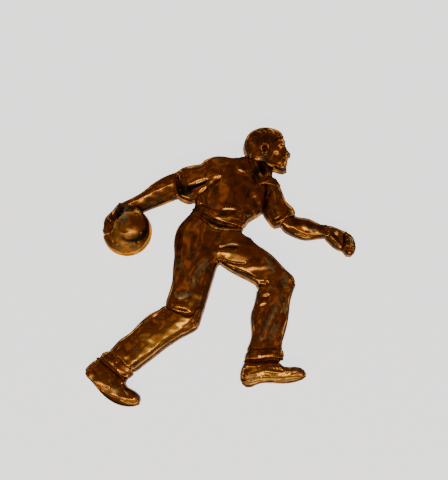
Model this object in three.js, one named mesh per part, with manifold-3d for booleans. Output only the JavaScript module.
// Flat-backed relief figure of a bowler in mid delivery, made to be fixed to a trophy plaque or base.
// The back lies on z = 0, +Z is the relief side, +Y runs to the head and the bowler faces +X.
// The casting is divided along its own relief lines: hems, cuffs, collars, soles, the belt and the wrists.
// All sizes are in millimetres.
import * as THREE from "three";
import { mergeVertices } from "three/addons/utils/BufferGeometryUtils.js";
import Module from "manifold-3d";

const wasm = await Module();
wasm.setup();

// ---- driving dimensions ----
const SEAM_GAP = 0.3; // clear line between two neighbouring forms
const CORE_DEPTH = 2.6; // how deep the back is cored out
const BOSS_RADIUS = 3.2;
const BOSS_HOLE_RADIUS = 1.25; // tapping size of a 3 mm screw
const BOSS_HOLE_DEPTH = 5;
const TALLEST = 40; // longer than any height or depth here, for cutters
const CROWN_STEPS = 20; // facets round a crown
const CAP_STEPS = 4;
const OUTLINE_STEP = 2.2; // spacing of the points along an outline
const RIM = 3.4; // least height of any wall that stands on the plaque
const BALL = { x: -40.1, y: 14.5, radius: 10.2 };
const HEAD = { x: 18.9, y: 49.1, height: 20, depth: 21.6, turn: 2 }; // turn is in degrees, chin up

// ---- finishes ----
const finish = (color, roughness) => new THREE.MeshStandardMaterial({ color, roughness, metalness: 1 });
const BRONZE = finish(0x8a4a16, 0.32);
const DARK_BRONZE = finish(0x3a2410, 0.42);
const BRIGHT_BRONZE = finish(0xb07a3a, 0.28);

// ---- outlines: closed smooth lines through these points ----
const headPoint = ([x, y]) => {
  const turn = THREE.MathUtils.degToRad(HEAD.turn);
  const along = x * HEAD.depth;
  const up = y * HEAD.height;
  return [
    HEAD.x + along * Math.cos(turn) - up * Math.sin(turn),
    HEAD.y + along * Math.sin(turn) + up * Math.cos(turn),
  ];
};

// The lines that two forms share, named for the edge that they follow.
const ARMHOLE = [
  [-9, 43.3], [-6, 41.9], [-3.2, 40.6], [-1.2, 38.5], [-1.7, 36.8], [-4.5, 33], [-7.5, 29.3],
  [-11.3, 26.9],
];
const FRONT_EDGE = [
  [14.4, 33.6], [12.3, 31.8], [11, 29], [10, 26], [9.2, 23.3], [8.6, 20], [8.9, 17], [8.5, 15.2],
];
const FAR_ARMHOLE = [[19.3, 35.2], [19.4, 31], [18.8, 27.6], [17.6, 24.8], [17.05, 22.3]];
const FLY = [[3.2, 14.5], [2.8, 11], [0.8, 8.6], [-1.2, 5.8], [-1.6, 3], [-1.2, 0.3]];
const REAR_HEM = [[-50.4, -38.7], [-47, -40.2], [-44.4, -42.3], [-41.2, -45.6], [-38.6, -47.4]];
const REAR_TOPLINE = [[-51.6, -39.4], [-48, -42.4], [-44.5, -44.9], [-41.4, -47.6], [-39.6, -49.1]];
const REAR_WELT = [
  [-56.2, -44.9], [-53.2, -47.9], [-50.6, -51], [-47.5, -53], [-43.5, -54.9], [-39.5, -55.9],
  [-36.3, -56], [-33.2, -56.4],
];
const FRONT_HEM = [[9.2, -39], [12, -39.3], [16, -39.2], [19, -38.6], [22, -38.7], [25.5, -39.3]];
const FRONT_TOPLINE = [[8.9, -41.2], [13, -41.4], [17, -40.9], [21, -40.3], [23.6, -40.6]];
const FRONT_WELT = [
  [7.6, -47.7], [10, -48.4], [13, -47.7], [17, -46.5], [22, -46.7], [27, -46.4], [31, -46.3],
  [35, -46.1],
];
const REAR_KNEE = [
  [-23.6, -16.8], [-21.8, -19.4], [-19, -20.6], [-16, -22], [-13, -22.6], [-11.3, -21.4],
  [-9.9, -18.6], [-7.2, -19],
];
const FRONT_KNEE = [[14.9, -10.2], [19, -10.8], [24, -11], [28, -10.6], [30.7, -8.6]];
const back = (line) => [...line].reverse();

// A profile of the builder's own, in shares of the head's height from its middle.
const FACE_PROFILE = [
  [0.395, 0.17], [0.412, 0.105], [0.385, 0.04], [0.452, -0.07], [0.502, -0.135], [0.428, -0.185],
  [0.444, -0.245], [0.418, -0.28], [0.43, -0.315], [0.392, -0.36], [0.412, -0.44], [0.345, -0.5],
].map(headPoint);
const JAW = [[0.2, -0.47], [0.02, -0.37], [-0.06, -0.27], [-0.2, -0.25], [-0.3, -0.22]].map(headPoint);
const HAIRLINE = [
  [0.362, 0.255], [0.25, 0.24], [0.14, 0.15], [0.06, 0.03], [0.02, -0.08], [-0.1, -0.06],
  [-0.2, -0.16], [-0.3, -0.22],
].map(headPoint);
const CROWN = [
  [-0.4, -0.12], [-0.455, 0.04], [-0.44, 0.2], [-0.34, 0.37], [-0.17, 0.47], [0.02, 0.5], [0.2, 0.46],
  [0.32, 0.38],
].map(headPoint);

// ---- solids ----
// A closed geometry as a solid; only its points matter.
function solid(geometry) {
  const bare = geometry.clone();
  bare.deleteAttribute("normal");
  bare.deleteAttribute("uv");
  const merged = mergeVertices(bare, 1e-4);
  return new wasm.Manifold(
    new wasm.Mesh({
      numProp: 3,
      vertProperties: merged.attributes.position.array,
      triVerts: new Uint32Array(merged.index.array),
    }),
  );
}

function shapeOf(points) {
  const line = new THREE.CatmullRomCurve3(
    points.map(([x, y]) => new THREE.Vector3(x, y, 0)),
    true,
    "centripetal",
  );
  const count = Math.max(points.length, Math.round(line.getLength() / OUTLINE_STEP));
  const corners = line.getSpacedPoints(count).slice(0, count);
  return new THREE.Shape(corners.map((p) => new THREE.Vector2(p.x, p.y)));
}

// The outline taken straight up from one height to another.
function prism(points, low, high) {
  const geometry = new THREE.ExtrudeGeometry(shapeOf(points), { depth: high - low, bevelEnabled: false });
  return solid(geometry.translate(0, 0, low));
}

// The outline moved out by the seam gap, for cutting the form beside it.
function cutter(points) {
  const line = shapeOf(points).getPoints();
  const sense = THREE.ShapeUtils.isClockWise(line) ? -1 : 1;
  const grown = line.map((point, i) => {
    const before = line[(i + line.length - 1) % line.length];
    const after = line[(i + 1) % line.length];
    const along = after.clone().sub(before).normalize();
    return new THREE.Vector2(point.x + sense * SEAM_GAP * along.y, point.y - sense * SEAM_GAP * along.x);
  });
  const settings = { depth: 2 * TALLEST, bevelEnabled: false };
  return solid(new THREE.ExtrudeGeometry(new THREE.Shape(grown), settings).translate(0, 0, -TALLEST));
}

function cylinder(x, y, radius, low, high) {
  const geometry = new THREE.CylinderGeometry(radius, radius, high - low, 20);
  return solid(geometry.rotateX(Math.PI / 2).translate(x, y, (low + high) / 2));
}

const aboveBack = solid(new THREE.BoxGeometry(200, 200, TALLEST).translate(0, 0, TALLEST / 2));

// A rounded body lying along a line on the back, half as wide as "half" and as tall as "height".
function crownBody([x1, y1, x2, y2, half], height) {
  const reach = Math.hypot(x2 - x1, y2 - y1);
  const geometry = new THREE.CapsuleGeometry(half, reach, CAP_STEPS, CROWN_STEPS);
  geometry.scale(1, 1, height / half);
  geometry.rotateZ(Math.atan2(y2 - y1, x2 - x1) - Math.PI / 2);
  return solid(geometry.translate((x1 + x2) / 2, (y1 + y2) / 2, 0));
}

// A form that stands up from the back: straight walls on its outline under a rounded or level top.
function raised({ points, height, crowns }) {
  if (!crowns) return prism(points, 0, height);
  let top = prism(points, 0, RIM);
  for (const crown of crowns) top = top.add(crownBody(crown, height));
  return top.intersect(prism(points, 0, height));
}

function halfBall({ x, y, radius }) {
  return solid(new THREE.SphereGeometry(radius, 28, 20).translate(x, y, 0)).intersect(aboveBack);
}

// ---- the forms, from the topmost layer down: each one cuts what lies under it ----
const circlePoints = ({ x, y, radius }) =>
  Array.from({ length: 12 }, (_, i) => [
    x + radius * Math.cos((i * Math.PI) / 6),
    y + radius * Math.sin((i * Math.PI) / 6),
  ]);

const FORMS = [
  {
    name: "near_collar",
    height: 9.8,
    points: [
      [6.2, 45], [8, 45.7], [9.8, 46.4], [11.3, 42], [13.9, 34.6], [10.8, 37.6], [6.5, 38.8],
      [5.6, 42],
    ],
  },
  {
    name: "far_collar",
    height: 7.8,
    points: [
      [15.4, 33.7], [18.6, 35.4], [21.5, 37.5], [24, 35.4], [24.8, 33.2], [21.6, 33.2], [18.8, 34.1],
    ],
  },
  {
    name: "throwing_sleeve",
    height: 9.4,
    crowns: [[-19, 33.6, -3, 38.6, 9.8]],
    points: [
      [-18.7, 40.1], [-16, 41.7], [-12.5, 42.5], [-10.3, 42.7], ...ARMHOLE, [-14, 26.2], [-16.5, 27],
      [-19.2, 28.9], [-19.8, 32], [-19.6, 36],
    ],
  },
  {
    name: "balance_sleeve",
    height: 8.6,
    crowns: [[21, 35, 27.5, 18, 7]],
    points: [
      ...back(FAR_ARMHOLE), [21.5, 37.1], [24, 35.2], [25.3, 32.2], [26.5, 29], [27.6, 26.2],
      [29.7, 25], [31, 23], [31.4, 21.2], [30.8, 20.4], [28, 20], [26, 19], [25.2, 17.8], [25.1, 16.5],
      [24, 15.8], [22.5, 15.5], [21.2, 16.1], [19.5, 18.3],
    ],
  },
  {
    name: "shirt",
    height: 11.2,
    crowns: [[1, 44, -3, 20, 17]],
    points: [
      ...back(ARMHOLE), [-5.5, 45.4], [-2, 46], [2.5, 45.5], [6.2, 45], [9.8, 46.2], [11.3, 42],
      [13.7, 35], ...FRONT_EDGE, [5, 16.2], [1.5, 17], [-2.5, 18.4], [-6, 20.5], [-9, 21.9],
      [-12.1, 22.6], [-11.9, 24.5],
    ],
  },
  {
    name: "shirt_far_front",
    height: 9.2,
    crowns: [[9.5, 34, 8, 16, 14]],
    points: [
      ...back(FRONT_EDGE), [17, 34.4], ...FAR_ARMHOLE, [15, 20.4], [12, 18.7], [10.4, 17.2],
      [9.9, 15.9],
    ],
  },
  {
    name: "belt",
    height: 9.4,
    crowns: [[-1, 24, -3, 10, 16]],
    points: [
      [-12.3, 23.4], [-9.5, 22.6], [-6.5, 20.9], [-3, 19.2], [2, 17.8], [8.6, 16.6], [8.6, 13.5],
      [3, 13.6], [-2, 14.1], [-5.5, 15.8], [-8.5, 18.4], [-11.2, 20.4], [-13.4, 21.3],
    ],
  },
  {
    name: "hair",
    height: 10.6,
    crowns: [[17.5, 49.5, 18.5, 48.5, 12.5]],
    points: [...HAIRLINE, ...CROWN],
  },
  {
    name: "head",
    height: 9.8,
    crowns: [[17.5, 49.5, 18.5, 48.5, 12.5]],
    points: [...FACE_PROFILE, ...JAW, ...back(HAIRLINE).slice(1)],
  },
  {
    name: "neck",
    height: 7.8,
    crowns: [[14, 48, 18, 34, 8]],
    points: [
      [10, 46.6], [12, 40.8], [14.4, 33.8], [18.8, 35.2], [21.3, 37.2], [21.7, 39], [21, 43], [12, 48],
    ],
  },
  {
    name: "ball_hand",
    height: 8.2,
    crowns: [[-44.5, 25, -48, 12, 5.6]],
    points: [
      [-43.6, 26.1], [-46, 23.2], [-49.1, 20.2], [-50, 18.2], [-49.9, 16.2], [-50.5, 14.4],
      [-50, 12.6], [-48, 12], [-46, 13], [-45, 15.5], [-43.8, 18], [-42, 19.8], [-40.8, 22.3],
    ],
  },
  { name: "bowling_ball", ball: BALL, points: circlePoints(BALL) },
  {
    name: "throwing_forearm",
    height: 7.8,
    crowns: [[-43, 23.2, -18, 34, 6.6]],
    points: [
      [-43.2, 26.1], [-41.4, 26.9], [-38, 28.5], [-35, 30.2], [-32, 32.4], [-29.5, 34.6], [-27, 36.2],
      [-24, 37.8], [-21, 39], [-17.5, 39.5], [-17, 33], [-18, 29.2], [-22, 27.3], [-25, 26],
      [-28, 24.9], [-31, 23.7], [-33.5, 22.5], [-36, 21.1], [-40, 21.5],
    ],
  },
  {
    name: "balance_fingers",
    height: 5.4,
    crowns: [[53, 14, 54, 3, 4.4]],
    points: [
      [52.4, 13.9], [54.2, 12.9], [55.7, 11.3], [56.4, 9], [56.6, 7], [56.1, 5.3], [54.8, 3.8],
      [53.3, 3.3], [51.9, 3.9], [51, 5.3], [51.6, 8], [52, 11],
    ],
  },
  {
    name: "balance_hand",
    height: 6,
    crowns: [[43, 14, 53, 9.5, 6.4]],
    points: [
      [44, 16.8], [47, 16.3], [50, 15.1], [53, 13.6], [52.6, 11], [52, 8], [51, 5.6], [49.5, 6],
      [47.5, 7], [45.8, 8.6], [44, 10.3], [43, 11.4], [43.7, 14],
    ],
  },
  {
    name: "balance_forearm",
    height: 7.4,
    crowns: [[26, 17.5, 44, 14, 6.2]],
    points: [
      [29, 20.6], [33, 20.2], [36.5, 19.7], [39.5, 18.3], [42, 17.1], [44.6, 16.7], [45, 14],
      [43.6, 11.3], [41, 11.2], [38, 10.7], [35, 10.5], [32, 11.3], [29, 12.6], [26.5, 14],
      [24.6, 16.4], [25, 19],
    ],
  },
  {
    name: "front_cuff",
    height: 9,
    crowns: [[18, -34, 17.4, -41, 10.6]],
    points: [
      ...FRONT_HEM, [26, -37.5], [25.6, -36], [25.1, -35], [20, -35.8], [14, -36.1], [10.3, -35.7],
      [9.8, -37],
    ],
  },
  {
    name: "front_thigh",
    height: 10,
    crowns: [[1, 4, 26, -8, 12]],
    points: [
      ...FLY, [0.5, -0.9], [4, -3.2], [8, -5.3], [12, -7.3], [14.8, -9.3], ...FRONT_KNEE, [30.8, -7],
      [29.8, -4.9], [27.5, -3], [24.5, 0.3], [21, 4], [17.5, 6.5], [14.2, 8.8], [12.5, 11], [10.2, 12],
      [8.8, 13], [8, 14.8],
    ],
  },
  {
    name: "front_shin",
    height: 9.8,
    crowns: [[23, -6, 17.6, -36, 10.6]],
    points: [
      ...back(FRONT_KNEE), [14.2, -13], [13.4, -16.5], [12.1, -20.3], [11.8, -24], [12.2, -29.5],
      [11.3, -33], [10.2, -35.5], [10.6, -37.4], [24.8, -37], [25, -33.5], [25.9, -30.3],
      [27.3, -25.5], [28.2, -20], [28.8, -15], [29.8, -11.8],
    ],
  },
  {
    name: "rear_cuff",
    height: 8.4,
    crowns: [[-38, -36.5, -48, -44, 9.5]],
    points: [
      ...REAR_HEM, [-36.8, -46.2], [-36, -44.9], [-38.3, -42.9], [-41.2, -40], [-44, -37.6],
      [-46.7, -35.9], [-49.6, -37],
    ],
  },
  {
    name: "rear_thigh",
    height: 10,
    crowns: [[-8, 15, -15, -16, 11.5]],
    points: [
      ...back(FLY), [-2, 15.4], [-7, 18.2], [-12.2, 21.9], [-16, 19.1], [-18.8, 15.8], [-20.2, 11.5],
      [-20.4, 7.5], [-20.2, 4], [-20.7, -1], [-21, -7], [-22.3, -12], ...REAR_KNEE, [-7, -18],
      [-5, -11.5], [-3.2, -5], [-1.9, -1],
    ],
  },
  {
    name: "rear_shin",
    height: 9.6,
    crowns: [[-15, -21, -42, -39.5, 9.6]],
    points: [
      ...back(REAR_KNEE), [-26, -18.6], [-30, -20.5], [-34, -24], [-38.4, -28.7], [-42, -31],
      [-45, -34.3], [-46.5, -36.5], [-42, -41], [-37.6, -44.6], [-36.1, -44.9], [-32, -41.8],
      [-28, -38.8], [-24, -35.6], [-20, -32.8], [-16, -30.3], [-12.3, -28.5], [-10, -26.8],
      [-8.8, -24], [-7.8, -20.5],
    ],
  },
  {
    name: "rear_shoe",
    height: 6.8,
    crowns: [[-52, -43, -38, -54, 8]],
    points: [
      ...REAR_TOPLINE, [-39, -50.5], [-36.5, -51.8], [-34.2, -53.5], [-33.2, -55], ...back(REAR_WELT),
      [-56.5, -43.8], [-55, -41.9], [-53.2, -40.3],
    ],
  },
  {
    name: "rear_sock",
    height: 5.2,
    points: [...back(REAR_TOPLINE), ...REAR_HEM],
  },
  {
    name: "rear_sole",
    height: 4.4,
    points: [
      ...REAR_WELT, [-33.4, -57.7], [-35, -58.5], [-38.5, -58.9], [-42.5, -58.1], [-46, -56.4],
      [-49, -54.1], [-51.6, -51.2], [-54.2, -48.3], [-56.6, -45.7],
    ],
  },
  {
    name: "front_shoe",
    height: 7.6,
    crowns: [[13, -43.5, 32, -46, 7]],
    points: [
      ...FRONT_TOPLINE, [24.8, -41.7], [26.5, -42.5], [30, -42.3], [32.8, -42.8], [34.4, -44.2],
      ...back(FRONT_WELT), [7.4, -45.6], [8.1, -42.8],
    ],
  },
  {
    name: "front_sock",
    height: 5.6,
    points: [...back(FRONT_TOPLINE), ...FRONT_HEM, [24.6, -40]],
  },
  {
    name: "front_sole",
    height: 4.8,
    points: [
      ...FRONT_WELT, [34.6, -47.1], [32.5, -48.2], [29, -49.1], [25, -49.5], [19, -49.1], [15, -49.6],
      [12.8, -50.7], [10.4, -51.1], [8.4, -49.8],
    ],
  },
];

// ---- the cored back: shallow pockets that leave a rim, and two bosses to screw into ----
const POCKETS = [
  // chest
  [
    [-4, 43], [3, 43], [9, 42.5], [9.5, 36], [9.5, 30], [7.5, 25.6], [0, 25], [-8.5, 25.8], [-8, 27],
    [-3.5, 31], [0.5, 37], [-2.5, 41.5],
  ],
  // seat and rear thigh
  [
    [-4, 11], [-4.4, 6], [-5, 0], [-7, -8], [-10, -15.5], [-13, -19.5], [-18, -17.5], [-20, -13],
    [-18, -4], [-17.5, 6], [-16.5, 12], [-11, 14],
  ],
  // rear shin
  [
    [-14, -26], [-20, -30], [-28, -35.8], [-35, -41], [-41, -39.5], [-42.5, -34], [-37, -30],
    [-31, -24], [-25, -21.8], [-18, -25],
  ],
  // front thigh
  [
    [1.5, 4.5], [4.5, 10], [9.5, 9.5], [16, 5], [22, -1], [27, -6], [24, -8.6], [17, -8], [12, -4.5],
    [6, -1.5], [2.5, 1],
  ],
  // front shin
  [
    [26.6, -14], [25.4, -24], [22.8, -33.2], [14, -33.6], [14.6, -24], [16, -16], [17.4, -13.4],
    [22, -13],
  ],
  // throwing sleeve
  [
    [-16.5, 39], [-10, 40.5], [-5, 38.5], [-7.5, 33.5], [-13, 29], [-16.8, 31],
  ],
  // head
  [
    [12, 47.5], [12.5, 54], [17, 56.5], [22.5, 54], [24.5, 49], [23.5, 43], [19, 42.5], [15.5, 45.5],
  ],
];
const BOSSES = [
  { x: 3.2, y: 36.5 },
  { x: -12.2, y: 2.5 },
];

let pockets = POCKETS.map((points) => prism(points, -1, CORE_DEPTH)).reduce((all, one) => all.add(one));
pockets = pockets.add(cylinder(BALL.x, BALL.y, BALL.radius - 3, -1, CORE_DEPTH));
for (const { x, y } of BOSSES) pockets = pockets.subtract(cylinder(x, y, BOSS_RADIUS, -2, TALLEST));
for (const { x, y } of BOSSES) pockets = pockets.add(cylinder(x, y, BOSS_HOLE_RADIUS, -1, BOSS_HOLE_DEPTH));

// ---- assembly ----
function geometryOf(body) {
  const mesh = body.getMesh();
  const geometry = new THREE.BufferGeometry();
  const corners = new Float32Array(mesh.triVerts.length * 3);
  mesh.triVerts.forEach((vertex, i) => {
    const start = vertex * mesh.numProp;
    corners.set(mesh.vertProperties.subarray(start, start + 3), 3 * i);
  });
  geometry.setAttribute("position", new THREE.BufferAttribute(corners, 3));
  geometry.computeVertexNormals();
  return geometry;
}

const FINISH_OF = {
  belt: DARK_BRONZE,
  neck: DARK_BRONZE,
  rear_sock: DARK_BRONZE,
  front_sock: DARK_BRONZE,
  bowling_ball: BRIGHT_BRONZE,
  rear_sole: BRIGHT_BRONZE,
  front_sole: BRIGHT_BRONZE,
};

const figure = new THREE.Group();
const laid = [];
for (const form of FORMS) {
  let body = form.ball ? halfBall(form.ball) : raised(form);
  for (const above of laid) body = body.subtract(above);
  body = body.subtract(pockets);
  // a cut can leave crumbs at a corner, so only the largest piece is the form
  body = body.decompose().reduce((best, one) => (one.volume() > best.volume() ? one : best));
  const mesh = new THREE.Mesh(geometryOf(body), FINISH_OF[form.name] ?? BRONZE);
  mesh.name = form.name;
  figure.add(mesh);
  laid.push(cutter(form.points));
}

// The origin is the middle of the figure's box, on the back.
const middle = new THREE.Box3().setFromObject(figure).getCenter(new THREE.Vector3());
for (const mesh of figure.children) mesh.geometry.translate(-middle.x, -middle.y, 0);

export default figure;
